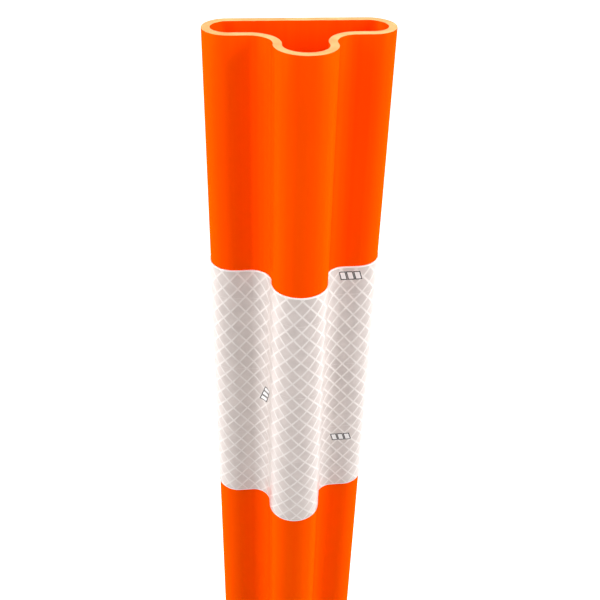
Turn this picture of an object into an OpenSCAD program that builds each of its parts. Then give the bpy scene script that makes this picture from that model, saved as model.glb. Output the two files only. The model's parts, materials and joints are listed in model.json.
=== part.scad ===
// Self-righting portable delineator post: a hollow three-lobed post with two
// reflective bands, on a sprung hinge bolted to a rubber base.
// Millimetres. Origin at the centre of the base's underside, +Z up.
// The post's flat back faces +Y and its round front rib faces -Y.

/* [Post profile] */
// Overall width of the post across its two side lobes
post_w = 82; // [78:1:100]
// Radius of each side lobe, which is half the thickness of the flat part
lobe_r = 11.5; // [10:0.5:13]
// Radius of the round front rib
rib_r = 13.2; // [12:0.2:14.4]
// Distance from the lobes' centre line forward to the rib's centre
rib_offset = 23.7; // [22:0.1:26]
// Radius of the hollow corner between the flat part and the rib
corner_r = 9.5; // [8:0.5:10.5]
// Wall thickness of the post
wall = 3.7; // [2.5:0.1:4.5]
// Height of the post's open top above the ground
top_z = 1070; // [900:10:1200]

/* [Reflective bands] */
// Height of each white band
band_h = 150; // [100:5:150]
// Distance from the post's top down to the first band
band_drop = 112; // [80:2:150]
// Plain stripe between the two bands
band_gap = 150; // [100:5:180]
// Thickness of the sheeting with its adhesive
band_t = 0.5; // [0.3:0.1:0.8]
// Width of the double layer where the sheeting overlaps at the back
band_lap = 16; // [10:1:25]

/* [Rubber base] */
// Side of the square base
base_w = 400; // [380:10:450]
// Side of the flat top of the base
base_top_w = 220; // [200:10:240]
// Thickness of the base at its centre
base_h = 48; // [44:1:60]
// Thickness of the base at its edge
base_edge_h = 20; // [18:1:26]
// Distance between neighbouring ground anchor holes
anchor_pitch = 300; // [290:5:310]
// Radius of each ground anchor hole
anchor_r = 7; // [5:0.5:9]

/* [Hinge] */
// Height of the hinge axis above the bracket plate
axis_rise = 44; // [42:1:50]
// Wire diameter of the torsion springs
spring_wire = 3; // [2.5:0.1:3.2]
// Number of turns of each torsion spring
spring_turns = 4; // [3:1:4]

/* [Hidden] */
$fn = 64;
eps = 0.01;                // overlap where two shapes of one piece meet
over = 1;                  // how far a cut runs past the surface it opens
touch = 0.02;              // gap left between pieces that lie against each other
fit_gap = 0.15;            // gap round a piece that slips into another
washer_gap = 0.2;          // gap round a shank in a washer or an ear
hole_gap = 0.3;            // gap round a shank or a spring leg in a drilled hole
rubber_hole_gap = 0.5;     // gap round a shank in the rubber

// Fastener sizes: [shank radius, hex across flats, head height, nut height]
M10 = [5, 16, 6.4, 9.5];
M8 = [4, 13, 5.3];
washer_r = 10;
washer_t = 2;
screw_washer_r = 9;
screw_washer_t = 1.6;
nut_collar_h = 2.5;        // round collar of a locking nut
bolt_end = 4;              // thread that shows past a bracket nut
pin_end = 3;               // thread that shows past the hinge nut
hex_corner = 2 / sqrt(3);  // across corners over across flats

// Profile geometry
lobe_x = post_w / 2 - lobe_r;
corner_y = -(lobe_r + corner_r);
corner_x = sqrt(pow(corner_r + rib_r, 2) - pow(rib_offset + corner_y, 2));
rib_tangent = atan2(rib_offset + corner_y, corner_x);   // below the rib's widest point

// Base geometry
base_corner_r = 60;
base_top_corner_r = 30;
base_foot_chamfer = 3;
base_skin = 1;             // thin slabs at the foot and top that shape the base
plate_seat_gap = 1;        // the seat is this much wider than the bracket plate
plate_w = 150;
plate_d = 112;
plate_t = 6;
plate_sink = 2;            // depth of the seat moulded into the base's top
plate_corner_r = 8;
plate_z = base_h - plate_sink;
plate_top = plate_z + plate_t;
backing_w = 150;
backing_d = 110;
backing_t = 5;
pocket_margin = 2;
pocket_h = 14;             // holds the backing plate and the bolt heads
backing_z = pocket_h - backing_t;
bolt_x = 56;
bolt_y = 38;
grip_x = 162;
grip_w = 28;
grip_l = 120;
anchor_seat_z = 18;
anchor_seat_r = 15;
drain_w = 10;
drain_h = 4;

// Hinge geometry
axis_z = plate_top + axis_rise;
ear_in = 36;
ear_t = 6;
ear_out = ear_in + ear_t;
ear_r = 16;
ear_foot = 26;
barrel_half = 14;
barrel_r = 11;
pin_r = M10[0];
bush_r = pin_r + 1.5;
bush_bore_r = pin_r + 0.05;
bush_in = 1;
bush_out = 35.5;
spring_r = bush_r + 0.4 + spring_wire / 2;
spring_in = 17.5;
spring_pitch = spring_wire + 0.6;
spring_outer_x = spring_in + spring_turns * spring_pitch;
spring_leg_drop = axis_rise + 3;
spring_leg_rise = 23;
spring_steps = 18;         // points to a turn
wire_sides = 8;
leg_hole_r = spring_wire / 2 + hole_gap;

// Upper hinge half, and what holds the post to it
flange_z = axis_z + 20;
flange_t = 4;
post_z = flange_z + flange_t;
neck_d = 16;
tang_w = 30;
tang_t = 8;
tang_l = 118;
insert_l = 120;
screw_rise = [35, 85];
screw_r = M8[0];
post_l = top_z - post_z;

// ---------- shared shapes ----------

// Points of an arc about c, from angle a0 to a1
function arc(c, r, a0, a1, n = 12) =
    [for (i = [0:n]) let (a = a0 + (a1 - a0) * i / n) [c[0] + r * cos(a), c[1] + r * sin(a)]];

// Right half of the profile at offset g outside the post's outer surface, back to front
function half_outline(g) = concat(
    arc([lobe_x, 0], lobe_r + g, 90, -90, 24),
    arc([corner_x, corner_y], corner_r - g, 90, 180 + rib_tangent, 14),
    arc([0, -rib_offset], rib_r + g, rib_tangent, -90, 16));

// The whole closed outline at offset g
function outline(g) = let (h = half_outline(g), n = len(h)) concat(
    h, [for (i = [n - 2:-1:0]) [-h[i][0], h[i][1]]]);

// A wall that follows the profile, from offset g0 to offset g1 outside the post's surface
module profile_wall(g0, g1, h)
    linear_extrude(height = h) difference() {
        polygon(outline(g1));
        polygon(outline(g0));
    }

module rounded_slab(w, d, r, h)
    hull() for (x = [-1, 1], y = [-1, 1])
        translate([x * (w / 2 - r), y * (d / 2 - r), 0]) cylinder(r = r, h = h, $fn = 32);

// A plate with square sides and round corners, kept exact
module plate(w, d, r, h) {
    translate([-w / 2 + r, -d / 2, 0]) cube([w - 2 * r, d, h]);
    translate([-w / 2, -d / 2 + r, 0]) cube([w, d - 2 * r, h]);
    for (x = [-1, 1], y = [-1, 1])
        translate([x * (w / 2 - r), y * (d / 2 - r), 0]) cylinder(r = r, h = h);
}

module at_bracket_bolts(z)
    for (x = [-1, 1], y = [-1, 1]) translate([x * bolt_x, y * bolt_y, z]) children();

module at_anchors(z)
    for (x = [-1, 1], y = [-1, 1])
        translate([x * anchor_pitch / 2, y * anchor_pitch / 2, z]) children();

module hex(across, h) cylinder(d = across * hex_corner, h = h, $fn = 6);

module washer(r_in, r_out, t)
    difference() {
        cylinder(r = r_out, h = t);
        translate([0, 0, -over]) cylinder(r = r_in, h = t + 2 * over);
    }

// A locking nut: the hexagon with the round collar that grips the thread
module lock_nut(size)
    difference() {
        union() {
            hex(size[1], size[3] - nut_collar_h);
            cylinder(d = size[1] - 1, h = size[3]);
        }
        translate([0, 0, -over]) cylinder(r = size[0] + touch, h = size[3] + 2 * over);
    }

// Along the hinge axis, from x on the side given by side = 1 or -1
module on_axis(x, side)
    translate([side * x, 0, axis_z]) rotate([0, side * 90, 0]) children();

// ---------- base ----------

module grip_slot() {
    l = grip_l - grip_w;
    h = base_h + 2 * over;
    translate([-grip_w / 2, -l / 2, -over]) cube([grip_w, l, h]);
    for (y = [-1, 1]) translate([0, y * l / 2, -over]) cylinder(d = grip_w, h = h);
}

module rubber_base()
    color("#26272a") difference() {
        hull() {
            rounded_slab(base_w - 2 * base_foot_chamfer, base_w - 2 * base_foot_chamfer,
                base_corner_r - base_foot_chamfer, base_skin);
            translate([0, 0, base_foot_chamfer])
                rounded_slab(base_w, base_w, base_corner_r, base_edge_h - base_foot_chamfer);
            translate([0, 0, base_h - base_skin])
                rounded_slab(base_top_w, base_top_w, base_top_corner_r, base_skin);
        }
        translate([0, 0, plate_z]) plate(plate_w + plate_seat_gap, plate_d + plate_seat_gap,
            plate_corner_r, plate_t);
        translate([0, 0, -over]) plate(backing_w + 2 * pocket_margin,
            backing_d + 2 * pocket_margin, plate_corner_r, pocket_h + over);
        at_bracket_bolts(-over) cylinder(r = M10[0] + rubber_hole_gap, h = base_h + 2 * over);
        for (side = [-1, 1]) translate([side * grip_x, 0, 0]) grip_slot();
        at_anchors(-over) cylinder(r = anchor_r, h = base_h + 2 * over);
        at_anchors(anchor_seat_z) cylinder(r = anchor_seat_r, h = base_h);
        for (turn = [0, 90]) rotate([0, 0, turn])
            translate([-base_w / 2 - over, -drain_w / 2, -over])
                cube([base_w + 2 * over, drain_w, drain_h + over]);
    }

module backing_plate()
    color("#9a9ea3") translate([0, 0, backing_z - touch]) difference() {
        plate(backing_w, backing_d, plate_corner_r, backing_t);
        at_bracket_bolts(-over) cylinder(r = M10[0] + hole_gap, h = backing_t + 2 * over);
    }

// ---------- lower hinge half ----------

// One upright ear, drawn in the YZ plane as a round eye on a tapered foot
module ear_shape() {
    drop = axis_rise;
    circle(r = ear_r);
    polygon([[-ear_foot, -drop], [ear_foot, -drop], [ear_r, 0], [-ear_r, 0]]);
}

module hinge_bracket()
    color("#8d9296") difference() {
        union() {
            translate([0, 0, plate_z + touch]) plate(plate_w, plate_d, plate_corner_r, plate_t);
            for (x = [-ear_out, ear_in]) translate([x, 0, axis_z])
                rotate([90, 0, 90]) linear_extrude(height = ear_t) ear_shape();
        }
        for (side = [-1, 1]) {
            on_axis(ear_in - over, side) cylinder(r = pin_r + washer_gap, h = ear_t + 2 * over);
            translate([side * spring_outer_x, spring_r, plate_z - over])
                cylinder(r = leg_hole_r, h = plate_t + 2 * over);
        }
        at_bracket_bolts(plate_z - over)
            cylinder(r = M10[0] + hole_gap, h = plate_t + 2 * over);
    }

module bracket_bolts()
    color("#c6c9cc") {
        head_top = backing_z - 2 * touch;
        bolt_top = plate_top + washer_t + M10[3] + bolt_end;
        at_bracket_bolts(head_top - M10[2]) hex(M10[1], M10[2]);
        at_bracket_bolts(head_top - eps) cylinder(r = M10[0], h = bolt_top - head_top);
    }

module bracket_washers()
    color("#b9bdc1") at_bracket_bolts(plate_top + 2 * touch)
        washer(M10[0] + washer_gap, washer_r, washer_t - 2 * touch);

module bracket_nuts()
    color("#c6c9cc") at_bracket_bolts(plate_top + washer_t + touch) lock_nut(M10);

module hinge_bolt()
    color("#c6c9cc") {
        head_x = ear_out + washer_t + touch;
        on_axis(head_x, -1) hex(M10[1], M10[2]);
        translate([-head_x - eps, 0, axis_z]) rotate([0, 90, 0])
            cylinder(r = pin_r, h = 2 * head_x + M10[3] + pin_end);
    }

module hinge_bolt_washers()
    color("#b9bdc1") for (side = [-1, 1]) on_axis(ear_out + touch, side)
        washer(pin_r + washer_gap, washer_r, washer_t - touch);

module hinge_bolt_nut()
    color("#c6c9cc") on_axis(ear_out + washer_t + touch, 1) lock_nut(M10);

// ---------- torsion springs ----------

// Path of the right-hand spring about the hinge axis: a leg down into the bracket,
// the coil inwards along the axis, and a leg up into the knuckle's flange
function spring_path() = let (steps = spring_steps * spring_turns) concat(
    [[spring_outer_x, spring_r, -spring_leg_drop]],
    [for (i = [0:steps]) let (a = 360 * spring_turns * i / steps)
        [spring_outer_x - spring_pitch * a / 360, spring_r * cos(a), spring_r * sin(a)]],
    [[spring_in, spring_r, spring_leg_rise]]);

function unit(v) = v / norm(v);

// Direction of a path at point i
function heading(p, i) = unit(p[min(i + 1, len(p) - 1)] - p[max(i - 1, 0)]);

// Rings of points round a path, with the hinge axis direction as the reference
function rings(p, r, sides) = [for (i = [0:len(p) - 1])
    let (t = heading(p, i), u = unit(cross(t, cross([1, 0, 0], t))), v = cross(t, u))
    for (k = [0:sides - 1]) let (a = 360 * k / sides) p[i] + r * (cos(a) * u + sin(a) * v)];

module swept_wire(p, r) {
    n = len(p);
    sides = wire_sides;
    last = (n - 1) * sides;
    polyhedron(points = rings(p, r, sides), faces = concat(
        [[for (k = [sides - 1:-1:0]) k]],
        [for (i = [0:n - 2], k = [0:sides - 1]) let (a = i * sides + k,
            b = i * sides + (k + 1) % sides) [a, b, b + sides]],
        [for (i = [0:n - 2], k = [0:sides - 1]) let (a = i * sides + k,
            b = i * sides + (k + 1) % sides) [a, b + sides, a + sides]],
        [[for (k = [0:sides - 1]) last + k]]), convexity = 10);
}

module torsion_spring_right()
    color("#3b3d40") translate([0, 0, axis_z]) swept_wire(spring_path(), spring_wire / 2);

module torsion_spring_left() mirror([1, 0, 0]) torsion_spring_right();

// ---------- upper hinge half ----------

module hinge_knuckle()
    color("#8d9296") difference() {
        union() {
            translate([-barrel_half, 0, axis_z]) rotate([0, 90, 0])
                cylinder(r = barrel_r, h = 2 * barrel_half);
            translate([-barrel_half, -neck_d / 2, axis_z])
                cube([2 * barrel_half, neck_d, flange_z - axis_z + flange_t / 2]);
            translate([0, 0, flange_z]) linear_extrude(height = flange_t) polygon(outline(0));
            translate([-tang_w / 2, -tang_t / 2, flange_z + flange_t / 2])
                cube([tang_w, tang_t, tang_l + flange_t / 2]);
        }
        translate([-barrel_half - over, 0, axis_z]) rotate([0, 90, 0])
            cylinder(r = bush_r, h = 2 * (barrel_half + over));
        for (side = [-1, 1]) translate([side * spring_in, spring_r, flange_z - over])
            cylinder(r = leg_hole_r, h = flange_t + 2 * over);
        for (rise = screw_rise) translate([0, 0, post_z + rise]) rotate([90, 0, 0])
            cylinder(r = screw_r + touch, h = tang_t + 2 * over, center = true);
    }

module sleeve_bush(side)
    color("#e9e6dc") on_axis(bush_in, side)
        washer(bush_bore_r, bush_r - touch, bush_out - bush_in);

module sleeve_bush_left() sleeve_bush(-1);

module sleeve_bush_right() sleeve_bush(1);

// Holes for the post's screws, from its middle out through its back
module screw_holes()
    for (rise = screw_rise) translate([0, 0, rise]) rotate([-90, 0, 0])
        cylinder(r = screw_r + hole_gap, h = lobe_r + over);

module core_insert()
    color("#3a3b3d") translate([0, 0, post_z + touch]) difference() {
        linear_extrude(height = insert_l) polygon(outline(-wall - fit_gap));
        translate([-tang_w / 2 - fit_gap, -tang_t / 2 - fit_gap, -over])
            cube([tang_w + 2 * fit_gap, tang_t + 2 * fit_gap, insert_l + 2 * over]);
        screw_holes();
    }

// ---------- post ----------

module post_profile()
    color("#ff4f00") translate([0, 0, post_z + touch]) difference() {
        profile_wall(-wall, 0, post_l - touch);
        screw_holes();
    }

module at_screws()
    for (rise = screw_rise) translate([0, lobe_r, post_z + rise]) rotate([-90, 0, 0]) children();

module post_screws()
    color("#c6c9cc") at_screws() {
        translate([0, 0, screw_washer_t + touch]) hex(M8[1], M8[2]);
        translate([0, 0, -lobe_r - tang_t / 2]) cylinder(r = screw_r,
            h = lobe_r + tang_t / 2 + screw_washer_t + touch + M8[2] / 2);
    }

module post_screw_washers()
    color("#b9bdc1") at_screws() translate([0, 0, touch])
        washer(screw_r + hole_gap, screw_washer_r, screw_washer_t - touch);

module reflective_band(top)
    color("#eceae8") translate([0, 0, top - band_h]) {
        profile_wall(touch, touch + band_t, band_h);
        translate([-band_lap / 2, lobe_r + touch + band_t / 2, 0])
            cube([band_lap, 1.5 * band_t, band_h]);
    }

module upper_reflective_band() reflective_band(top_z - band_drop);

module lower_reflective_band() reflective_band(top_z - band_drop - band_h - band_gap);

rubber_base();
backing_plate();
hinge_bracket();
bracket_bolts();
bracket_washers();
bracket_nuts();
hinge_bolt();
hinge_bolt_washers();
hinge_bolt_nut();
torsion_spring_left();
torsion_spring_right();
hinge_knuckle();
sleeve_bush_left();
sleeve_bush_right();
core_insert();
post_profile();
post_screws();
post_screw_washers();
upper_reflective_band();
lower_reflective_band();
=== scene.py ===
# Looks of the delineator post: a hollow orange three-lobed post with two bands of
# prismatic reflective sheeting, on a sprung hinge bolted to a rubber base.
# Metres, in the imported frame: +Z up, the post's round rib faces -Y.
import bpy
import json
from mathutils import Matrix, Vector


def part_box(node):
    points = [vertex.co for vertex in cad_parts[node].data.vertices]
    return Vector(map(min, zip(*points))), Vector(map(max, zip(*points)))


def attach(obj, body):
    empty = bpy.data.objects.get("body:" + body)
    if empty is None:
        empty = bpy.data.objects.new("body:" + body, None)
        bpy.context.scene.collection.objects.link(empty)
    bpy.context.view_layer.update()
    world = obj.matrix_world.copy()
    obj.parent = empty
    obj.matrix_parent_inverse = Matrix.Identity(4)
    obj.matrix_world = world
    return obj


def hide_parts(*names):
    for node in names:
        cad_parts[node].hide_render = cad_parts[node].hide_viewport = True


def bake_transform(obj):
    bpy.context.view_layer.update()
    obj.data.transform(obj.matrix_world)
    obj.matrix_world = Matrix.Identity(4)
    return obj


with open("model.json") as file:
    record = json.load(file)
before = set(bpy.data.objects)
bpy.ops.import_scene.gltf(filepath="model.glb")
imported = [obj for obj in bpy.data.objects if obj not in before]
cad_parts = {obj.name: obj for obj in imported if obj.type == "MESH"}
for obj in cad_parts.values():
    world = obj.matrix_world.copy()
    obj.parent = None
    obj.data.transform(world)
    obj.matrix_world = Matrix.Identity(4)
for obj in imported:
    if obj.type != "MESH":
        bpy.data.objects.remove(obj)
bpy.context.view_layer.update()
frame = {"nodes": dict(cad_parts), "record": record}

import json
import math

import bmesh
import bpy
import numpy as np
from mathutils import Matrix, Vector

MM = 0.001

# ---------- the post's profile ----------

POST_LOW, POST_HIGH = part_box("post_profile")
HALF_WIDTH = POST_HIGH.x
LOBE_R = POST_HIGH.y
RIB_R = 13.2 * MM
CORNER_R = 9.5 * MM
WALL = 3.7 * MM
LOBE_X = HALF_WIDTH - LOBE_R
RIB_Y = POST_LOW.y + RIB_R
CORNER_Y = -(LOBE_R + CORNER_R)
CORNER_X = math.sqrt((CORNER_R + RIB_R) ** 2 - (CORNER_Y - RIB_Y) ** 2)
RIB_TANGENT = math.atan2(CORNER_Y - RIB_Y, CORNER_X)


def arc_points(centre, radius, start, stop, step, inward=False):
    """Points and outward normals along an arc; an inward arc is a hollow corner."""
    count = max(2, int(abs(stop - start) * radius / step))
    angle = np.linspace(start, stop, count + 1)
    direction = np.stack([np.cos(angle), np.sin(angle)], 1)
    return np.array(centre) + radius * direction, -direction if inward else direction


def straight_points(start, stop, normal, step):
    """Points along a straight stretch, with its one outward normal."""
    start, stop = np.array(start), np.array(stop)
    count = max(2, int(np.linalg.norm(stop - start) / step))
    share = np.linspace(0, 1, count + 1)[:, None]
    return start + share * (stop - start), np.tile(np.array(normal, float), (count + 1, 1))


def profile_table(step=0.1 * MM):
    """The closed profile from the middle of the back, by the +X side, as distance, points, normals."""
    quarter = math.pi / 2
    stretches = [
        straight_points((0, LOBE_R), (LOBE_X, LOBE_R), (0, 1), step),
        arc_points((LOBE_X, 0), LOBE_R, quarter, -quarter, step),
        straight_points((LOBE_X, -LOBE_R), (CORNER_X, -LOBE_R), (0, -1), step),
        arc_points((CORNER_X, CORNER_Y), CORNER_R, quarter, math.pi + RIB_TANGENT, step, True),
        arc_points((0, RIB_Y), RIB_R, RIB_TANGENT, -quarter, step),
    ]
    points = np.concatenate([s[0] for s in stretches])
    normals = np.concatenate([s[1] for s in stretches])
    mirror = np.array([-1, 1])
    points = np.concatenate([points, points[-2::-1] * mirror])
    normals = np.concatenate([normals, normals[-2::-1] * mirror])
    gaps = np.linalg.norm(np.diff(points, axis=0), axis=1)
    keep = np.concatenate([[True], gaps > 1e-9])
    points, normals = points[keep], normals[keep]
    distance = np.concatenate([[0], np.cumsum(np.linalg.norm(np.diff(points, axis=0), axis=1))])
    return distance, points, normals


PROFILE = profile_table()
PERIMETER = PROFILE[0][-1]


def on_profile(distance, proud, height):
    """Places in space of points a distance round the profile and so far proud of the post."""
    table, points, normals = PROFILE
    at = np.mod(distance, PERIMETER)
    place = [np.interp(at, table, points[:, k]) + proud * np.interp(at, table, normals[:, k])
             for k in (0, 1)]
    return np.stack([place[0], place[1], np.broadcast_to(height, at.shape)], 1)


# ---------- mesh helpers ----------

def mesh_object(name, vertices, faces, materials, face_slots=None, sharp=None):
    """A new object from vertices and faces, smooth except where its faces meet at an angle."""
    mesh = bpy.data.meshes.new(name)
    mesh.from_pydata([tuple(v) for v in vertices], [], [tuple(f) for f in faces])
    for material in materials:
        mesh.materials.append(material)
    if face_slots is not None:
        mesh.polygons.foreach_set("material_index", np.asarray(face_slots, np.int32))
    mesh.polygons.foreach_set("use_smooth", np.ones(len(mesh.polygons), bool))
    if sharp is not None:
        mesh.set_sharp_from_angle(angle=math.radians(sharp))
    mesh.update()
    obj = bpy.data.objects.new(name, mesh)
    bpy.context.scene.collection.objects.link(obj)
    return obj


def loft_rings(rings, closed=True, round_closed=True):
    """Quads between rings of equal length, each ring an array of points.

    closed joins the last ring to the first, and round_closed each ring's last point to its first.
    """
    count = len(rings[0])
    steps = count if round_closed else count - 1
    faces = []
    for i in range(len(rings) if closed else len(rings) - 1):
        a, b = i * count, ((i + 1) % len(rings)) * count
        faces += [(a + k, a + (k + 1) % count, b + (k + 1) % count, b + k) for k in range(steps)]
    return np.concatenate(rings), faces


def capped(rings):
    """A solid from rings of points, closed by a face over the first and the last."""
    points, faces = loft_rings(rings, False)
    count = len(rings[0])
    last = len(points) - count
    return points, faces + [tuple(reversed(range(count))), tuple(range(last, last + count))]


def joined(shapes):
    """One list of vertices and one of faces from several shapes."""
    vertices, faces = [], []
    base = 0
    for points, quads in shapes:
        vertices.append(points)
        faces += [tuple(base + i for i in face) for face in quads]
        base += len(points)
    return np.concatenate(vertices), faces


# ---------- materials ----------

class Shader:
    """A material's node tree with a principled shader, and short ways to add nodes."""

    def __init__(self, name, **settings):
        self.material = bpy.data.materials.new(name)
        self.material.use_nodes = True
        self.tree = self.material.node_tree
        self.principled = self.tree.nodes["Principled BSDF"]
        self.coordinates = self.add("ShaderNodeTexCoord").outputs["Object"]
        for key, value in settings.items():
            self.principled.inputs[{"ior": "IOR"}.get(key, key.title())].default_value = value

    def add(self, kind, **inputs):
        node = self.tree.nodes.new(kind)
        for key, value in inputs.items():
            self.put(node, key, value)
        return node

    def put(self, node, key, value):
        """Sets or links an input, named in full or by its number, or else a setting of the node."""
        name = key if isinstance(key, int) or key in node.inputs else key.replace("_", " ").title()
        if isinstance(name, str) and name not in node.inputs:
            setattr(node, key, value)
        elif isinstance(value, bpy.types.NodeSocket):
            self.tree.links.new(value, node.inputs[name])
        else:
            node.inputs[name].default_value = value

    def noise(self, scale, stretch=(1, 1, 1), detail=3.0, roughness=0.55):
        mapping = self.add("ShaderNodeMapping", Vector=self.coordinates, Scale=stretch)
        node = self.add("ShaderNodeTexNoise", Vector=mapping.outputs[0], Scale=scale, Detail=detail,
                        Roughness=roughness)
        return node.outputs["Fac"]

    def ramp(self, value, low, high, out_low=0.0, out_high=1.0):
        node = self.add("ShaderNodeMapRange", Value=value)
        for k, number in enumerate((low, high, out_low, out_high)):
            node.inputs[k + 1].default_value = number
        return node.outputs[0]

    def math(self, operation, a, b=0.0):
        node = self.add("ShaderNodeMath", operation=operation)
        self.put(node, 0, a)
        self.put(node, 1, b)
        return node.outputs[0]

    def mix(self, factor, a, b):
        node = self.add("ShaderNodeMix", data_type="RGBA")
        self.put(node, 0, factor)
        self.put(node, 6, a)
        self.put(node, 7, b)
        return node.outputs[2]

    def bump(self, height, strength, distance, normal=None):
        node = self.add("ShaderNodeBump", Height=height, Strength=strength, Distance=distance)
        if normal is not None:
            self.put(node, "Normal", normal)
        return node.outputs[0]

    def set(self, key, value):
        self.put(self.principled, key, value)

    def cover(self, shader, share):
        """Puts another shader over the principled one, by share."""
        over = self.add("ShaderNodeMixShader")
        self.put(over, 0, share)
        self.tree.links.new(self.principled.outputs[0], over.inputs[1])
        self.tree.links.new(shader.outputs[0], over.inputs[2])
        self.tree.links.new(over.outputs[0], self.tree.nodes["Material Output"].inputs["Surface"])


def orange_plastic():
    """Satin extruded plastic: die lines along its length, slow shifts of tone and a warm gloss."""
    s = Shader("orange_plastic", roughness=0.6, ior=1.0)
    lines = s.noise(260.0, (1, 1, 0.004), 4.0)
    broad = s.noise(45.0, (1, 1, 0.02), 2.0)
    cloud = s.noise(14.0, (1, 1, 0.5), 3.0)
    tone = s.math("ADD", s.math("MULTIPLY", broad, 0.6), s.math("MULTIPLY", cloud, 0.4))
    tone = s.math("ADD", s.math("MULTIPLY", tone, 0.7), s.math("MULTIPLY", lines, 0.3))
    s.set("Base Color", s.mix(s.ramp(tone, 0.38, 0.62), (0.98, 0.051, 0.0, 1), (1.0, 0.074, 0.0, 1)))
    s.set("Subsurface Weight", 0.08)
    s.set("Subsurface Radius", (0.004, 0.0012, 0.0003))
    grain = s.noise(1400.0, (1, 1, 0.35), 2.0)
    fine = s.bump(grain, 0.10, 0.05 * MM)
    normal = s.bump(lines, 0.3, 0.15 * MM, fine)
    s.set("Normal", normal)
    gloss = s.add("ShaderNodeBsdfGlossy", Color=(1.0, 0.36, 0.0, 1), Normal=normal)
    s.put(gloss, "Roughness", s.ramp(lines, 0.3, 0.7, 0.30, 0.42))
    fresnel = s.add("ShaderNodeFresnel", IOR=1.4)
    s.cover(gloss, s.ramp(fresnel.outputs[0], 0.02, 0.6, 0.05, 0.24))
    return s.material


def sawn_plastic():
    """The cut rim: paler than the moulded face, with the saw's fine parallel marks."""
    s = Shader("sawn_plastic", roughness=0.62)
    marks = s.noise(900.0, (1, 0.06, 1), 3.0)
    blotch = s.noise(120.0, (1, 1, 1), 3.0)
    s.set("Base Color", s.mix(s.ramp(blotch, 0.35, 0.65), (0.98, 0.33, 0.10, 1), (1.0, 0.42, 0.155, 1)))
    s.set("Roughness", s.ramp(marks, 0.3, 0.7, 0.55, 0.75))
    s.set("Normal", s.bump(marks, 0.5, 0.1 * MM))
    return s.material


def sheeting(name, low, high, roughness, coat):
    """One part of the reflective sheeting, under its clear glossy film."""
    s = Shader(name, roughness=roughness)
    patches = s.noise(160.0, (1, 1, 1), 2.0)
    s.set("Base Color", s.mix(s.ramp(patches, 0.3, 0.7), low + (1,), high + (1,)))
    s.set("Coat Weight", coat)
    s.set("Coat Roughness", 0.12)
    ripple = s.noise(90.0, (1, 1, 0.25), 2.0)
    s.set("Normal", s.bump(ripple, 0.15, 0.2 * MM))
    return s.material


def prism_cells():
    """The cells of microprisms: a warm silver that takes its brightness from what it faces."""
    s = Shader("prism_cells", metallic=0.38)
    patches = s.noise(130.0, (1, 1, 1), 2.0)
    tone = s.ramp(patches, 0.3, 0.7)
    s.set("Base Color", s.mix(tone, (0.66, 0.58, 0.545, 1), (0.74, 0.655, 0.615, 1)))
    s.set("Roughness", s.ramp(patches, 0.3, 0.7, 0.38, 0.46))
    s.set("Coat Weight", 0.35)
    s.set("Coat Roughness", 0.2)
    sparkle = s.add("ShaderNodeTexVoronoi", Vector=s.coordinates, Scale=3800.0).outputs["Distance"]
    ripple = s.bump(s.noise(90.0, (1, 1, 0.25), 2.0), 0.15, 0.2 * MM)
    s.set("Normal", s.bump(sparkle, 0.3, 0.05 * MM, ripple))
    return s.material


def printed_mark():
    """Thin grey ink of the small plain marks under the film."""
    s = Shader("printed_mark", roughness=0.4)
    worn = s.noise(900.0, (1, 1, 1), 3.0)
    s.set("Base Color", s.mix(s.ramp(worn, 0.35, 0.7), (0.02, 0.019, 0.019, 1), (0.08, 0.075, 0.075, 1)))
    s.set("Coat Weight", 0.6)
    return s.material


def rubber():
    """Moulded recycled rubber: pressed granules of slightly different blacks, pitted and dusty."""
    s = Shader("black_rubber", roughness=0.8)
    granules = s.add("ShaderNodeTexVoronoi", Vector=s.coordinates, Scale=380.0)
    grain = s.add("ShaderNodeSeparateColor", Color=granules.outputs["Color"]).outputs[0]
    black = s.mix(s.ramp(grain, 0.55, 1.0), (0.010, 0.010, 0.011, 1), (0.032, 0.032, 0.034, 1))
    dust = s.math("MULTIPLY", s.noise(16.0, (1, 1, 1), 6.0, 0.65), s.noise(230.0, (1, 1, 1), 3.0))
    s.set("Base Color", s.mix(s.ramp(dust, 0.26, 0.42, 0.0, 0.45), black, (0.10, 0.097, 0.09, 1)))
    s.set("Roughness", s.ramp(grain, 0.0, 1.0, 0.62, 0.9))
    pits = s.bump(s.noise(900.0, (1, 1, 1), 3.0), 0.4, 0.2 * MM)
    s.set("Normal", s.bump(granules.outputs["Distance"], 0.5, 0.4 * MM, pits))
    return s.material


def galvanised():
    """Hot-dip zinc: dull grey with a faint spangle."""
    s = Shader("galvanised_steel", metallic=0.9, roughness=0.45)
    spangle = s.add("ShaderNodeTexVoronoi", Vector=s.coordinates, Scale=170.0).outputs["Color"]
    stain = s.noise(40.0, (1, 1, 1), 4.0)
    grey = s.mix(s.ramp(stain, 0.35, 0.7), (0.42, 0.44, 0.45, 1), (0.58, 0.60, 0.61, 1))
    split = s.add("ShaderNodeSeparateColor", Color=spangle).outputs[0]
    s.set("Base Color", s.mix(s.ramp(split, 0, 1, 0.0, 0.35), grey, (0.72, 0.74, 0.75, 1)))
    s.set("Roughness", s.ramp(split, 0, 1, 0.36, 0.55))
    s.set("Normal", s.bump(s.noise(260.0, (1, 1, 1), 3.0), 0.2, 0.15 * MM))
    return s.material


def zinc_plate():
    """Bright zinc on the fasteners, with a faint yellow cast and handling marks."""
    s = Shader("zinc_plated_steel", metallic=1.0, roughness=0.3)
    marks = s.noise(500.0, (1, 1, 0.2), 4.0)
    s.set("Base Color", s.mix(s.ramp(marks, 0.3, 0.7), (0.60, 0.60, 0.58, 1), (0.76, 0.75, 0.70, 1)))
    s.set("Roughness", s.ramp(marks, 0.3, 0.7, 0.22, 0.42))
    s.set("Normal", s.bump(marks, 0.15, 0.08 * MM))
    return s.material


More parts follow.
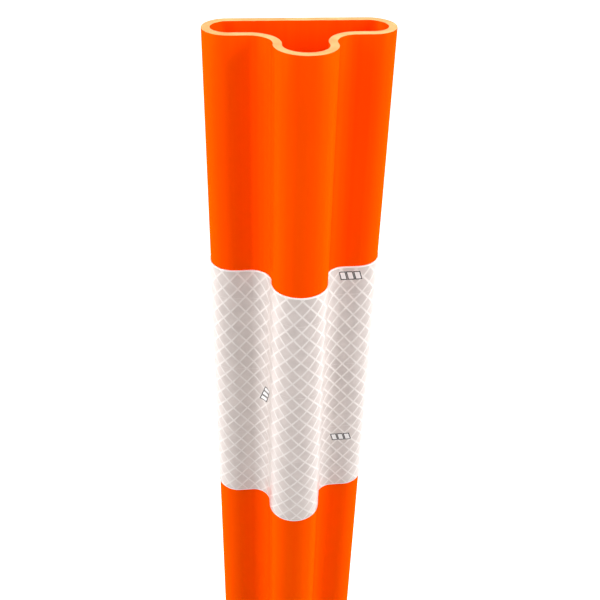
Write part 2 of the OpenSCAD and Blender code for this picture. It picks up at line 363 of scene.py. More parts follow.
def spring_steel():
    """Oiled black spring wire with drawing marks."""
    s = Shader("spring_steel", metallic=0.85, roughness=0.35)
    marks = s.noise(700.0, (0.2, 1, 1), 3.0)
    s.set("Base Color", s.mix(s.ramp(marks, 0.3, 0.7), (0.035, 0.036, 0.04, 1), (0.09, 0.09, 0.095, 1)))
    s.set("Roughness", s.ramp(marks, 0.3, 0.7, 0.28, 0.45))
    return s.material


def moulded(name, low, high):
    """Plain moulded plastic with a fine even grain."""
    s = Shader(name, roughness=0.5)
    grain = s.noise(800.0, (1, 1, 1), 3.0)
    s.set("Base Color", s.mix(s.ramp(grain, 0.3, 0.7), low + (1,), high + (1,)))
    s.set("Roughness", s.ramp(grain, 0.3, 0.7, 0.42, 0.6))
    s.set("Normal", s.bump(grain, 0.2, 0.08 * MM))
    return s.material


ORANGE = orange_plastic()
SAWN = sawn_plastic()
CELLS = prism_cells()
SEALS = sheeting("seal_lines", (0.77, 0.70, 0.665), (0.83, 0.76, 0.725), 0.4, 0.6)
EDGE = sheeting("sheeting_edge", (0.84, 0.80, 0.79), (0.88, 0.85, 0.84), 0.4, 0.4)
INK = printed_mark()
RUBBER = rubber()
GALVANISED = galvanised()
ZINC = zinc_plate()
SPRING = spring_steel()
NYLON = moulded("nylon", (0.72, 0.70, 0.62), (0.80, 0.78, 0.71))
BLACK_PLASTIC = moulded("black_plastic", (0.018, 0.018, 0.019), (0.035, 0.035, 0.037))

# ---------- post ----------

M8_R = 4 * MM
M8_PITCH = 1.25 * MM
M8_ACROSS = 13 * MM
M8_HEAD = 5.3 * MM
SCREW_HOLE_R = M8_R + 0.3 * MM
RIM_ROUNDING = 0.35 * MM


def screw_heights():
    """Heights of the two screws that hold the post's foot."""
    low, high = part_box("post_screws")
    return low.z + M8_ACROSS / 2, high.z - M8_ACROSS / 2


def drilled(obj, centre, radius, depth):
    """Cuts a round hole along Y through a piece, for good."""
    mesh = bpy.data.meshes.new("drill")
    drill = bmesh.new()
    turn = Matrix.Translation(centre) @ Matrix.Rotation(math.pi / 2, 4, "X")
    bmesh.ops.create_cone(drill, cap_ends=True, segments=40, radius1=radius, radius2=radius, depth=depth,
                          matrix=turn)
    drill.to_mesh(mesh)
    drill.free()
    cutter = bpy.data.objects.new("drill", mesh)
    bpy.context.scene.collection.objects.link(cutter)
    cut = obj.modifiers.new("cut", "BOOLEAN")
    cut.object = cutter
    cut.operation = "DIFFERENCE"
    cut.solver = "EXACT"
    cut.material_mode = "TRANSFER"
    graph = bpy.context.evaluated_depsgraph_get()
    done = bpy.data.meshes.new_from_object(obj.evaluated_get(graph))
    obj.modifiers.remove(cut)
    obj.data = done
    bpy.data.objects.remove(cutter)
    bpy.data.meshes.remove(mesh)


def post_shell():
    """The hollow extrusion, with the small roundings of its sawn rim and its two screw holes."""
    around = np.linspace(0, PERIMETER, 321)[:-1]
    low, high = POST_LOW.z, POST_HIGH.z
    edge = RIM_ROUNDING
    turns = [(math.sin(a), math.cos(a)) for a in np.linspace(0, math.pi / 2, 4)]
    outer = [(0.0, z) for z in np.linspace(low, high - edge, 40)]
    outer += [(-edge * (1 - c), high - edge * (1 - s)) for s, c in turns[1:]]
    inner = [(-WALL + edge * (1 - c), high - edge * (1 - s)) for s, c in reversed(turns[1:])]
    inner += [(-WALL, z) for z in np.linspace(high - edge, low, 40)]
    path = outer + inner
    rings = [on_profile(around, g, z) for g, z in path]
    vertices, faces = loft_rings(rings)
    rim_z = high - 0.8 * edge
    slots = [1 if all(vertices[i][2] > rim_z for i in face) else 0 for face in faces]
    post = mesh_object("post_shell", vertices, faces, [ORANGE, SAWN], slots, 40)
    for z in screw_heights():
        drilled(post, Vector((0, LOBE_R, z)), SCREW_HOLE_R, 4 * WALL)
    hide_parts("post_profile")
    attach(post, "post")


# ---------- reflective bands ----------

CELL_WIDTH = 7.3 * MM
CELL_HEIGHT = 9.0 * MM
SEAL_WIDTH = 0.85 * MM
SEAL_RISE = 0.03 * MM  # of the seal lines above the cells' rims
CELL_DISH = 0.05 * MM  # of a cell's middle below its rim
FILM = 0.5 * MM  # from the post to the top of the sheeting
BORDER = 0.7 * MM  # bare film along a cut edge
OVERLAP = 16.0 * MM
CUT_EDGE = 0.05 * MM  # how far the film slopes down over its border
TOOL_LINE = 0.2 * MM
TOOL_LINE_FIRST = 16 * MM
TOOL_LINE_PITCH = 44 * MM
MARK_W = 3.4 * MM
MARK_H = 4.8 * MM
MARK_LINE = 0.5 * MM
MARK_PITCH = 3.6 * MM


def lattice(width, low, high, film):
    """A flat sheet of diamond cells between raised seal lines.

    Gives its points as (along, up, proud), its faces and their material slots.
    """
    pitch = PERIMETER / round(PERIMETER / CELL_WIDTH)
    columns = round(width / pitch) if width == PERIMETER else math.ceil(width / pitch) + 1
    a = pitch / 2
    b = CELL_HEIGHT / 2
    reach = a * b / math.hypot(a, b)
    inset = 1 - SEAL_WIDTH / 2 / reach
    crest = 1 - 0.5 * SEAL_WIDTH / 2 / reach
    steps = 5
    share = np.linspace(0, 1, steps + 1)
    cell = []
    for v in share:
        for u in share:
            dish = CELL_DISH * (1 - max(abs(2 * u - 1), abs(2 * v - 1)) ** 2)
            cell.append((inset * (u - v) * a, inset * (u + v - 1) * b, film - SEAL_RISE - dish))
    side = [(u, 0.0) for u in share[:-1]] + [(1.0, v) for v in share[:-1]]
    side += [(1 - u, 1.0) for u in share[:-1]] + [(0.0, 1 - v) for v in share[:-1]]
    for scale in (crest, 1.0):
        cell += [(scale * (u - v) * a, scale * (u + v - 1) * b, film) for u, v in side]
    row = steps + 1
    quads = [(j * row + i, j * row + i + 1, (j + 1) * row + i + 1, (j + 1) * row + i)
             for j in range(steps) for i in range(steps)]
    border = [round(v * steps) * row + round(u * steps) for u, v in side]
    loops = [border, [row * row + k for k in range(4 * steps)],
             [row * row + 4 * steps + k for k in range(4 * steps)]]
    slots = [0] * len(quads)
    for inner, outer in zip(loops, loops[1:]):
        for k in range(4 * steps):
            n = (k + 1) % (4 * steps)
            quads.append((inner[k], outer[k], outer[n], inner[n]))
            slots.append(1)
    cell, quads = np.array(cell), np.array(quads)
    rows = int((high - low) / b) + 2
    places = [((2 * i + j % 2) * a, low + j * b) for j in range(rows + 1) for i in range(columns)]
    points = np.concatenate([cell + np.array([x, z, 0]) for x, z in places])
    faces = np.concatenate([quads + k * len(cell) for k in range(len(places))])
    return points, faces, slots * len(places)


def trimmed(points, faces, slots, planes):
    """The flat sheet with its seams joined, cut off at each (point, outward direction)."""
    mesh = bpy.data.meshes.new("trim")
    mesh.from_pydata(points.tolist(), [], faces.tolist())
    mesh.polygons.foreach_set("material_index", np.array(slots, np.int32))
    sheet = bmesh.new()
    sheet.from_mesh(mesh)
    bmesh.ops.remove_doubles(sheet, verts=sheet.verts, dist=0.01 * MM)
    for place, outward in planes:
        whole = sheet.verts[:] + sheet.edges[:] + sheet.faces[:]
        bmesh.ops.bisect_plane(sheet, geom=whole, plane_co=place, plane_no=outward, clear_outer=True)
    sheet.to_mesh(mesh)
    sheet.free()
    co = np.zeros(len(mesh.vertices) * 3)
    mesh.vertices.foreach_get("co", co)
    flat = co.reshape(-1, 3)
    new_faces = [tuple(p.vertices) for p in mesh.polygons]
    new_slots = [p.material_index for p in mesh.polygons]
    bpy.data.meshes.remove(mesh)
    return flat, new_faces, new_slots


def film_strip(path, around, closed):
    """Vertices and faces of a strip along a path of (proud, height), round the post or part of it."""
    rings = [on_profile(around, proud, height) for proud, height in path]
    return loft_rings(rings, False, closed)


def lattice_piece(name, start, width, low, high, film):
    """A wrapped stretch of lattice, trimmed to leave the clear border along its edges."""
    points, faces, slots = lattice(width, low, high, film)
    planes = [((0, low + BORDER, 0), (0, -1, 0)), ((0, high - BORDER, 0), (0, 1, 0))]
    if width < PERIMETER:
        planes += [((BORDER, 0, 0), (-1, 0, 0)), ((width - BORDER, 0, 0), (1, 0, 0))]
    flat, faces, slots = trimmed(points, faces, slots, planes)
    places = on_profile(start + flat[:, 0], flat[:, 2], flat[:, 1])
    return mesh_object(name, places, faces, [CELLS, SEALS], slots, 14)


def mark_outline(length, height):
    """A sheared rectangle, as closely spaced (along, up) points."""
    x, y = length / 2, height / 2
    corners = [(x, y), (-x, y), (-x, -y), (x, -y)]
    points = []
    for (x0, y0), (x1, y1) in zip(corners, corners[1:] + corners[:1]):
        points += [(x0 + (x1 - x0) * k / 5, y0 + (y1 - y0) * k / 5) for k in range(5)]
    return [(along + 0.3 * up, up) for along, up in points]


def printed_marks(name, places, film):
    """Rows of three small outlined blanks at (distance round, height, turn) places on a band."""
    vertices, faces, slots = [], [], []
    for along, up, turn in places:
        c, s = math.cos(turn), math.sin(turn)
        for shift in (-MARK_PITCH, 0.0, MARK_PITCH):
            first = len(vertices)
            for shrink in (0, MARK_LINE):
                outline = mark_outline(MARK_W - 2 * shrink, MARK_H - 2 * shrink)
                distances = np.array([along + c * (x + shift) - s * y for x, y in outline])
                heights = [up + s * (x + shift) + c * y for x, y in outline]
                vertices += list(on_profile(distances, film, heights))
            count = (len(vertices) - first) // 2
            vertices += list(on_profile(np.array([along + c * shift]), film, up + s * shift))
            for k in range(count):
                n = (k + 1) % count
                faces.append((first + k, first + n, first + count + n, first + count + k))
                faces.append((first + count + k, first + count + n, first + 2 * count))
                slots += [0, 1]
    return mesh_object(name, vertices, faces, [INK, EDGE], slots, None)


def cut_edge(name, inner, film, low, high, around, closed):
    """The bare border and cut edge of a layer of film, from its underside at inner to its top at film."""
    path = [(film, low + BORDER), (film - CUT_EDGE, low), (inner, low)]
    path += [(inner, high), (film - CUT_EDGE, high), (film, high - BORDER)]
    vertices, faces = film_strip(path, around, closed)
    return mesh_object(name, vertices, faces, [EDGE], None, 40)


def tool_lines(name, low, high, around):
    """The thin lines that the embossing tool leaves across the sheeting at even steps."""
    proud = FILM + 0.02 * MM
    strips = []
    for drop in np.arange(TOOL_LINE_FIRST, high - low, TOOL_LINE_PITCH):
        z = high - drop
        path = [(proud, z - TOOL_LINE / 2), (proud, z + TOOL_LINE / 2)]
        strips.append(film_strip(path, around, True))
    vertices, faces = joined(strips)
    return mesh_object(name, vertices, faces, [SEALS], None, None)


def mark_places(high):
    """Where a band's marks are: (distance round, height, turn) on the webs, a neck, a lobe and the back."""
    web = LOBE_X + math.pi * LOBE_R
    neck = web + LOBE_X - CORNER_X + 0.6 * CORNER_R * math.pi / 2
    lobe = PERIMETER - LOBE_X - 12 * MM
    return [
        (web + 3.5 * MM, high - 5 * MM, math.pi),
        (web + 3.0 * MM, high - 112 * MM, 0.0),
        (PERIMETER - neck, high - 75 * MM, -1.2),
        (lobe, high - 8 * MM, math.pi),
        (lobe, high - 112 * MM, 0.0),
        (12 * MM, high - 45 * MM, 0.0),
    ]


def reflective_band(name, node):
    """One band: its lattice, cut edges, tool lines, printed marks and the overlap at the back."""
    box_low, box_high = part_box(node)
    low, high = box_low.z, box_high.z
    top_film = box_high.y - LOBE_R
    all_round = np.linspace(0, PERIMETER, 641)[:-1]
    across = np.linspace(-OVERLAP / 2, OVERLAP / 2, 12)
    band = lattice_piece(name, 0.0, PERIMETER, low, high, FILM)
    rim = cut_edge(name + "_edge", 0.03 * MM, FILM, low, high, all_round, True)
    lines = tool_lines(name + "_tool_lines", low, high, all_round)
    flap = lattice_piece(name + "_overlap", -OVERLAP / 2, OVERLAP, low, high, top_film)
    flap_rim = cut_edge(name + "_overlap_edge", FILM, top_film, low, high, across, False)
    marks = printed_marks(name + "_marks", mark_places(high), FILM + 0.03 * MM)
    for piece in (band, rim, lines, flap, flap_rim, marks):
        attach(piece, "post")
    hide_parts(node)


# ---------- the foot ----------

FINISHES = {
    "galvanised_steel": GALVANISED,
    "zinc_plated_steel": ZINC,
    "spring_steel": SPRING,
    "nylon": NYLON,
    "black_plastic": BLACK_PLASTIC,
    "black_rubber": RUBBER,
}
EDGE_ROUNDING = {
    "rubber_base": 1.6 * MM,
    "hinge_bracket": 0.7 * MM,
    "hinge_knuckle": 0.7 * MM,
    "backing_plate": 0.5 * MM,
    "core_insert": 0.4 * MM,
}
PLAIN_ROUNDING = 0.25 * MM
SHARP_EDGE = math.radians(32)
BASE_EDGE_H = 20 * MM
BASE_TOP_HALF = 110 * MM
BASE_CORNER_R = 60 * MM
BASE_TOP_CORNER_R = 30 * MM
GRIP_X = 162 * MM  # middle of a grip slot
GRIP_R = 14 * MM  # its round ends
GRIP_REACH = 46 * MM  # from the middle of the slot to the centre of a round end
ANCHOR_AT = 150 * MM  # each anchor hole, in both X and Y
ANCHOR_SEAT_R = 15 * MM
RIB_MARGIN = 5 * MM  # between a rib's middle line and an opening
TREAD_W = 5 * MM
TREAD_H = 1.3 * MM
TREAD_SINK = 0.6 * MM
TREAD_FIRST = 23.5 * MM
TREAD_LAST = 44 * MM
TREAD_PITCH = 4.4 * MM


def smooth_by_angle(limit):
    """A geometry node group that shades a mesh smooth, except at edges turned more than limit."""
    group = bpy.data.node_groups.new("smooth_by_angle", "GeometryNodeTree")
    group.interface.new_socket("Geometry", in_out="INPUT", socket_type="NodeSocketGeometry")
    group.interface.new_socket("Geometry", in_out="OUTPUT", socket_type="NodeSocketGeometry")
    start = group.nodes.new("NodeGroupInput")
    stop = group.nodes.new("NodeGroupOutput")
    faces = group.nodes.new("GeometryNodeSetShadeSmooth")
    edges = group.nodes.new("GeometryNodeSetShadeSmooth")
    edges.domain = "EDGE"
    angle = group.nodes.new("GeometryNodeInputMeshEdgeAngle")
    below = group.nodes.new("FunctionNodeCompare")
    below.operation = "LESS_THAN"
    below.inputs[1].default_value = limit
    group.links.new(start.outputs[0], faces.inputs["Geometry"])
    group.links.new(faces.outputs[0], edges.inputs["Geometry"])
    group.links.new(angle.outputs["Unsigned Angle"], below.inputs[0])
    group.links.new(below.outputs[0], edges.inputs["Shade Smooth"])
    group.links.new(edges.outputs[0], stop.inputs[0])
    return group


SMOOTH = smooth_by_angle(SHARP_EDGE)


def soften(obj, width):
    """Joins a CAD mesh's faces, rounds its edges and shades it smooth, all by modifiers."""
    weld = obj.modifiers.new("weld", "WELD")
    weld.merge_threshold = 0.002 * MM
    flat = obj.modifiers.new("flat", "DECIMATE")
    flat.decimate_type = "DISSOLVE"
    flat.angle_limit = math.radians(0.5)
    bevel = obj.modifiers.new("bevel", "BEVEL")
    bevel.width = width
    bevel.segments = 3
    bevel.limit_method = "ANGLE"
    bevel.angle_limit = SHARP_EDGE
    obj.modifiers.new("smooth", "NODES").node_group = SMOOTH


def finish_cad_nodes():
    """Every CAD piece that shows as it is gets its finish, and rounded edges."""
    for part in frame["record"]["subparts"]:
        node = frame["nodes"][part["node"]]
        material = FINISHES.get(part["material_slot"])
        if material is None or node.hide_render:
            continue
        node.material_slots[0].material = material
        soften(node, EDGE_ROUNDING.get(part["node"], PLAIN_ROUNDING))


AROUND = 48
TURN = np.linspace(0, 2 * math.pi, AROUND + 1)[:-1]
THREAD_DEPTH = 0.6
M10_R = 5 * MM
M10_PITCH = 1.5 * MM
M10_ACROSS = 16 * MM
M10_HEAD = 6.4 * MM
M10_NUT = 9.5 * MM
NUT_COLLAR = 2.5 * MM
BRACKET_THREAD = 26 * MM
HINGE_THREAD = 22 * MM
SCREW_THREAD = 14 * MM


def hexagon(across, limit):
    """Radii round a hexagon's outline, cut back to limit where a chamfer has taken its corners."""
    sector = np.mod(TURN + math.pi / 6, math.pi / 3) - math.pi / 6
    sector = math.pi / 6 - np.abs(sector)
    return np.minimum(across / 2 / np.cos(sector), limit)


def hexagon_rings(across, low, high):
    """Rings of (height, radii) of a hexagon with chamfered corners at both its ends."""
    corner = across / math.sqrt(3)
    inside = 0.48 * across
    rings = []
    for share in (0, 0.25, 0.5, 0.75, 1):
        rings.append(((corner - inside) * share * 0.58, inside + (corner - inside) * share))
    up = [(low + drop, hexagon(across, limit)) for drop, limit in rings]
    return up + [(high - drop, hexagon(across, limit)) for drop, limit in reversed(rings)]


def thread_rings(radius, pitch, low, high):
    """Rings of (height, radii) of a screw thread that runs out in a chamfer at its high end."""
    rings = []
    depth = THREAD_DEPTH * pitch
    for z in np.arange(low, high, pitch / 6):
        phase = np.mod(z / pitch - TURN / (2 * math.pi), 1.0)
        crest = np.clip(3 * np.abs(phase - 0.5) - 0.25, 0, 1)
        rings.append((z, np.minimum(radius - depth * crest, radius - depth + max(0, high - z))))
    return rings + [(high, np.full(AROUND, radius - depth - 0.1 * pitch))]


def turned(rings, origin, axes):
    """Points of rings of (height, radii) about a line from origin; axes are rows: side, side, along."""
    points = []
    for height, radii in rings:
        radii = np.broadcast_to(radii, TURN.shape)
        local = np.stack([radii * np.cos(TURN), radii * np.sin(TURN), np.full(AROUND, height)], 1)
        points.append(np.array(origin) + local @ np.array(axes, float))
    return points


def hex_bolt(origin, axes, radius, pitch, across, head, length, thread):
    """A bolt whose head's underside is at origin and whose end is length along the third axis."""
    rings = hexagon_rings(across, -head, 0)
    rings += [(0, radius), (length - thread, radius)]
    rings += thread_rings(radius, pitch, length - thread, length)
    return capped(turned(rings, origin, axes))


def lock_nut(origin, axes, radius, across, height):
    """A locking nut whose seat is at origin: a chamfered hexagon with a round collar and a bore."""
    rim = 0.4 * MM
    rings = hexagon_rings(across, 0, height - NUT_COLLAR)
    collar_r = across / 2 - 0.5 * MM
    rings += [(height - NUT_COLLAR, collar_r), (height - rim, collar_r), (height, collar_r - rim)]
    rings += [(height, radius + rim), (height - rim, radius), (rim, radius), (0, radius + rim)]
    return loft_rings(turned(rings, origin, axes))


UP = ((1, 0, 0), (0, 1, 0), (0, 0, 1))
ALONG_X = ((0, 0, -1), (0, 1, 0), (1, 0, 0))
INTO_BACK = ((1, 0, 0), (0, 0, -1), (0, -1, 0))


def fastener(name, node, body, shapes):
    """A set of turned pieces as one object in place of a CAD node."""
    vertices, faces = joined(shapes)
    piece = mesh_object(name, vertices, faces, [ZINC], None, 28)
    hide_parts(node)
    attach(piece, body)


def m10_bolt(origin, axes, length, thread):
    """An M10 bolt whose head's underside is at origin."""
    return hex_bolt(origin, axes, M10_R, M10_PITCH, M10_ACROSS, M10_HEAD, length, thread)


def m10_nut(origin, axes):
    """An M10 locking nut whose seat is at origin."""
    return lock_nut(origin, axes, M10_R, M10_ACROSS, M10_NUT)


def fasteners():
    """The bracket's bolts and nuts, the hinge bolt and its nut, and the post's two screws."""
    low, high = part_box("bracket_bolts")
    nut_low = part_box("bracket_nuts")[0].z
    corner = M10_ACROSS / math.sqrt(3)
    spots = [(x, y) for x in (low.x + corner, high.x - corner)
             for y in (low.y + M10_ACROSS / 2, high.y - M10_ACROSS / 2)]
    under_head = low.z + M10_HEAD
    length = high.z - under_head
    bolts = [m10_bolt((x, y, under_head), UP, length, BRACKET_THREAD) for x, y in spots]
    fastener("bracket_bolt_set", "bracket_bolts", "base", bolts)
    fastener("bracket_nut_set", "bracket_nuts", "base", [m10_nut((x, y, nut_low), UP) for x, y in spots])
    low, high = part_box("hinge_bolt")
    axis = (low.z + high.z) / 2
    start = low.x + M10_HEAD
    nut_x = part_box("hinge_bolt_nut")[0].x
    hinge_bolt = m10_bolt((start, 0, axis), ALONG_X, high.x - start, HINGE_THREAD)
    fastener("hinge_bolt_turned", "hinge_bolt", "base", [hinge_bolt])
    fastener("hinge_nut_turned", "hinge_bolt_nut", "base", [m10_nut((nut_x, 0, axis), ALONG_X)])
    low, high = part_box("post_screws")
    seat = high.y - M8_HEAD
    length = seat - low.y
    screws = [hex_bolt((0, seat, z), INTO_BACK, M8_R, M8_PITCH, M8_ACROSS, M8_HEAD, length, SCREW_THREAD)
              for z in screw_heights()]
    fastener("post_screw_set", "post_screws", "post", screws)


KNUCKLE_R = 11.0 * MM
SPRING_TURNS = 4
WIRE_R = 1.5 * MM
WIRE_SIDES = 16
WIRE_STEPS = 28


def torsion_spring(side, name, node):
    """A coiled wire spring with a leg in the bracket and one in the knuckle, built in its rest shape; the
    real spring twists in a fold.
    """
    low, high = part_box(node)
    coil_r = -low.y - WIRE_R
    outer = max(abs(low.x), abs(high.x)) - WIRE_R
    inner = min(abs(low.x), abs(high.x)) + WIRE_R
    axis_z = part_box("hinge_knuckle")[0].z + KNUCKLE_R
    bend = 2.2 * MM
    path = [(outer, coil_r, low.z - axis_z), (outer, coil_r, -bend)]
    steps = WIRE_STEPS * SPRING_TURNS
    for i in range(1, steps):
        angle = 2 * math.pi * SPRING_TURNS * i / steps
        x = outer + (inner - outer) * i / steps
        path.append((x, coil_r * math.cos(angle), coil_r * math.sin(angle)))
    path += [(inner, coil_r, bend), (inner, coil_r, high.z - axis_z)]
    path = np.array(path) * (side, 1, 1) + (0, 0, axis_z)
    heading = np.gradient(path, axis=0)
    heading /= np.linalg.norm(heading, axis=1)[:, None]
    across = np.cross(heading, (1, 0, 0))
    across /= np.linalg.norm(across, axis=1)[:, None]
    other = np.cross(heading, across)
    turn = np.linspace(0, 2 * math.pi, WIRE_SIDES + 1)[:-1]
    rings = [p + WIRE_R * (np.outer(np.cos(turn), u) + np.outer(np.sin(turn), v))
             for p, u, v in zip(path, across, other)]
    vertices, faces = capped(rings)
    piece = mesh_object(name, vertices, faces, [SPRING], None, 50)
    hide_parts(node)
    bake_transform(piece)


EAR_IN = 36 * MM
EAR_OUT = 42 * MM
WELD_HALF = 25.5 * MM
OUTER_WELD = 2.8 * MM
INNER_WELD = 1.9 * MM
WELD_SINK = 0.5 * MM


def weld_bead(face_x, outward, size, side):
    """One rippled bead along an ear's foot; outward is 1 on the ear's outer face and -1 on its inner."""
    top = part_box("bracket_washers")[0].z
    root = side * (face_x - outward * WELD_SINK)
    rings = []
    for y in np.linspace(-WELD_HALF, WELD_HALF, 120):
        taper = min(1.0, (WELD_HALF - abs(y)) / (2 * MM) + 0.25)
        ripple = 1 - 0.09 * abs(math.sin(math.pi * y / (1.7 * MM)))
        ring = []
        for angle in np.linspace(0, math.pi / 2, 9):
            reach = size * taper * ripple * (0.82 + 0.18 * abs(math.cos(2 * angle)))
            out, rise = reach * math.cos(angle), reach * math.sin(angle)
            ring.append((side * (face_x + outward * out), y, top + rise))
        ring.append((root, y, ring[-1][2]))
        ring.append((root, y, top - WELD_SINK))
        ring.append((ring[0][0], y, top - WELD_SINK))
        rings.append(np.array(ring))
    return capped(rings)


def weld_beads():
    """Weld beads along both feet of the bracket's ears."""
    shapes = [weld_bead(face_x, outward, size, side)
              for face_x, outward, size in ((EAR_OUT, 1, OUTER_WELD), (EAR_IN, -1, INNER_WELD))
              for side in (1, -1)]
    vertices, faces = joined(shapes)
    beads = mesh_object("bracket_welds", vertices, faces, [GALVANISED], None, 60)
    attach(beads, "base")


def base_contour(height, count):
    """Points round the base's sloping faces at one height, starting at the middle of the +X side."""
    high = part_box("rubber_base")[1]
    share = (height - BASE_EDGE_H) / (high.z - BASE_EDGE_H)
    half = high.x + share * (BASE_TOP_HALF - high.x)
    radius = BASE_CORNER_R + share * (BASE_TOP_CORNER_R - BASE_CORNER_R)
    straight = half - radius
    points = [(half, 0.0)]
    for corner in range(4):
        for k in range(count + 1):
            angle = math.pi / 2 * k / count
            x, y = straight + radius * math.cos(angle), straight + radius * math.sin(angle)
            for _ in range(corner):
                x, y = -y, x
            points.append((x, y))
    points.append((half, 0.0))
    return np.array(points)


def evenly(points, others, step):
    """Points along a line at even steps, and the points of another line at the same shares."""
    gaps = np.linalg.norm(np.diff(points, axis=0), axis=1)
    distance = np.concatenate([[0], np.cumsum(gaps)])
    at = np.linspace(0, distance[-1], int(distance[-1] / step) + 1)[:-1]
    return [np.stack([np.interp(at, distance, line[:, k]) for k in (0, 1)], 1)
            for line in (points, others)]


def clear_of_openings(point):
    """Whether a place on the base is clear of its grip slots and anchor recesses."""
    x, y = abs(point[0]), abs(point[1])
    slot = math.hypot(x - GRIP_X, max(0.0, y - GRIP_REACH))
    anchor = math.hypot(x - ANCHOR_AT, y - ANCHOR_AT)
    return slot > GRIP_R + RIB_MARGIN and anchor > ANCHOR_SEAT_R + RIB_MARGIN


def clear_runs(line):
    """The unbroken runs of places along a closed line on the base that are clear of its openings."""
    count = len(line)
    clear = [clear_of_openings(p) for p in line]
    runs = []
    for start in [k for k in range(count) if clear[k] and not clear[k - 1]]:
        run = []
        while clear[(start + len(run)) % count]:
            run.append((start + len(run)) % count)
        runs.append(run)
    return runs


def rib_ring(line, upper, k, height, size):
    """The rib's section at place k of a line up the slope, scaled by size; its feet are in the rubber."""
    at = np.append(line[k], height)
    climb = np.append(upper[k], height + MM) - at
    climb /= np.linalg.norm(climb)
    ahead = np.append(line[(k + 1) % len(line)] - line[k - 1], 0)
    ahead /= np.linalg.norm(ahead)
    normal = np.cross(climb, ahead) * -1
    normal /= np.linalg.norm(normal)
    half, rise = TREAD_W / 2 * size, TREAD_H * size
    ring = [at + climb * (half * math.cos(a)) + normal * (rise * math.sin(a))
            for a in np.linspace(0, math.pi, 9)]
    ring += [at - climb * half - normal * TREAD_SINK, at + climb * half - normal * TREAD_SINK]
    return np.array(ring)


def tread_ribs():
    """Low rounded ribs moulded along the base's sloping faces, broken at its openings."""
    shapes = []
    for height in np.arange(TREAD_FIRST, TREAD_LAST, TREAD_PITCH):
        line, upper = evenly(base_contour(height, 16), base_contour(height + MM, 16), 2 * MM)
        runs = clear_runs(line)
        for run in runs:
            ends = [min(1.0, (min(k, len(run) - 1 - k) + 0.6) / 2.5) for k in range(len(run))]
            shapes.append(capped([rib_ring(line, upper, k, height, size) for k, size in zip(run, ends)]))
        if not runs:
            shapes.append(loft_rings([rib_ring(line, upper, k, height, 1.0) for k in range(len(line))]))
    vertices, faces = joined(shapes)
    ribs = mesh_object("base_tread_ribs", vertices, faces, [RUBBER], None, 60)
    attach(ribs, "base")


# ---------- studio ----------

CAMERA_PLACE = Vector((-0.4731, -4.293, 1.3133))  # from the middle of the rim, in post widths
CAMERA_TURN = (6.8, 34.8, 1.6)  # to the right, down, and rolled, in degrees
CAMERA_LENS = 50.98
GLOW_SPAN = (-0.7, 0.6)  # where on Y the floor's glow starts and is full
FLOOR_GLOW = (0.10, 0.95)  # in front of the post and behind it
FLOOR_SEEN = 0.36  # the least glow of floor that the camera sees
ROOM_LIGHT = (0.38, 0.56)  # in front of the post and behind it


def camera():
    """A camera above the front of the post, a little to its left, looking down along it."""
    place = Vector((0, 0, POST_HIGH.z)) + CAMERA_PLACE * (2 * HALF_WIDTH)
    yaw, pitch, roll = [math.radians(angle) for angle in CAMERA_TURN]
    ahead = Vector((math.sin(yaw) * math.cos(pitch), math.cos(yaw) * math.cos(pitch), -math.sin(pitch)))
    right = Vector((math.cos(yaw), -math.sin(yaw), 0))
    up = right.cross(ahead)
    leaned_right = right * math.cos(roll) + up * math.sin(roll)
    leaned_up = up * math.cos(roll) - right * math.sin(roll)
    data = bpy.data.cameras.new("camera")
    data.sensor_width = 36.0
    data.lens = CAMERA_LENS
    data.clip_start = 0.01
    obj = bpy.data.objects.new("camera", data)
    turn = Matrix((leaned_right, leaned_up, -ahead)).transposed()
    obj.matrix_world = Matrix.Translation(place) @ turn.to_4x4()
    bpy.context.scene.collection.objects.link(obj)
    bpy.context.scene.camera = obj


def softbox(name, place, aim, size, power, spread):
    """A rectangular light that faces aim; spread is how wide it throws, in degrees."""
    data = bpy.data.lights.new(name, "AREA")
    data.shape = "RECTANGLE"
    data.size, data.size_y = size
    data.energy = power
    data.spread = math.radians(spread)
    obj = bpy.data.objects.new(name, data)
    obj.location = place
    obj.rotation_euler = (Vector(aim) - Vector(place)).to_track_quat("-Z", "Y").to_euler()
    bpy.context.scene.collection.objects.link(obj)


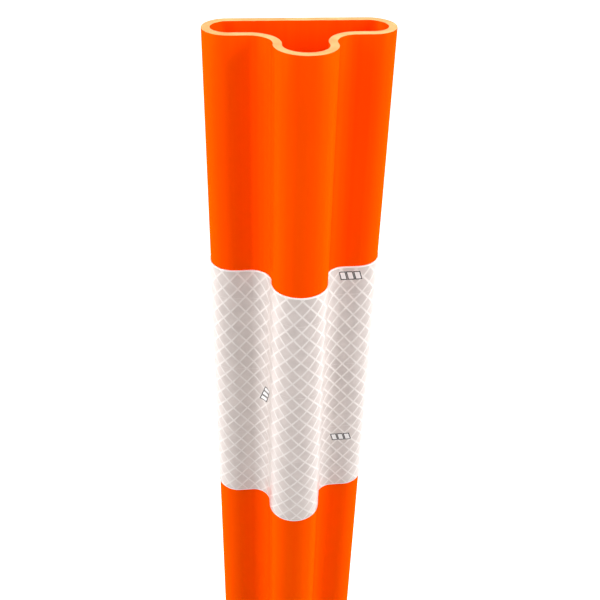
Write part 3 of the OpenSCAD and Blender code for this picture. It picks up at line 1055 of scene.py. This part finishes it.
def floor():
    """A white floor that glows behind the post, and glows everywhere for what the camera sees of it."""
    mesh = bpy.data.meshes.new("floor")
    reach = 200.0
    corners = [(-reach, -reach, 0), (reach, -reach, 0), (reach, reach, 0), (-reach, reach, 0)]
    mesh.from_pydata(corners, [], [(0, 1, 2, 3)])
    s = Shader("floor", roughness=0.9)
    s.set("Base Color", (0.80, 0.80, 0.80, 1))
    s.set("Emission Color", (1, 1, 1, 1))
    split = s.add("ShaderNodeSeparateXYZ", Vector=s.coordinates)
    glow = s.ramp(split.outputs["Y"], *GLOW_SPAN, *FLOOR_GLOW)
    glow.node.interpolation_type = "SMOOTHSTEP"
    seen = s.add("ShaderNodeLightPath").outputs["Is Camera Ray"]
    s.set("Emission Strength", s.math("MAXIMUM", glow, s.math("MULTIPLY", seen, FLOOR_SEEN)))
    mesh.materials.append(s.material)
    obj = bpy.data.objects.new("floor", mesh)
    bpy.context.scene.collection.objects.link(obj)


def room():
    """A white room that lights the post a little more from behind, and is pure white to the camera."""
    world = bpy.data.worlds.new("room")
    bpy.context.scene.world = world
    world.use_nodes = True
    tree = world.node_tree
    direction = tree.nodes.new("ShaderNodeTexCoord").outputs["Generated"]
    split = tree.nodes.new("ShaderNodeSeparateXYZ")
    tree.links.new(direction, split.inputs[0])
    strength = tree.nodes.new("ShaderNodeMapRange")
    for k, number in enumerate((-1.0, 0.4) + ROOM_LIGHT):
        strength.inputs[k + 1].default_value = number
    tree.links.new(split.outputs["Y"], strength.inputs[0])
    seen = tree.nodes.new("ShaderNodeLightPath").outputs["Is Camera Ray"]
    brighter = tree.nodes.new("ShaderNodeMath")
    brighter.operation = "MAXIMUM"
    tree.links.new(strength.outputs[0], brighter.inputs[0])
    tree.links.new(seen, brighter.inputs[1])
    background = tree.nodes["Background"]
    background.inputs["Color"].default_value = (1, 1, 1, 1)
    tree.links.new(brighter.outputs[0], background.inputs["Strength"])


def softboxes():
    """A softbox at each side of the post's top, and a weaker one over it."""
    aim = (0, 0, POST_HIGH.z - 0.1)
    softbox("right_softbox", (0.9, -0.32, 1.45), aim, (0.32, 0.6), 4.9, 110)
    softbox("left_softbox", (-0.9, -0.23, 1.4), aim, (0.45, 0.6), 3.9, 110)
    softbox("top_softbox", (0, 0.1, 2.3), aim, (0.9, 0.9), 3.0, 120)


post_shell()
reflective_band("upper_band", "upper_reflective_band")
reflective_band("lower_band", "lower_reflective_band")
fasteners()
torsion_spring(1, "spring_right", "torsion_spring_right")
torsion_spring(-1, "spring_left", "torsion_spring_left")
weld_beads()
tread_ribs()
finish_cad_nodes()
floor()
room()
softboxes()
camera()
bpy.context.scene.view_settings.view_transform = "Standard"
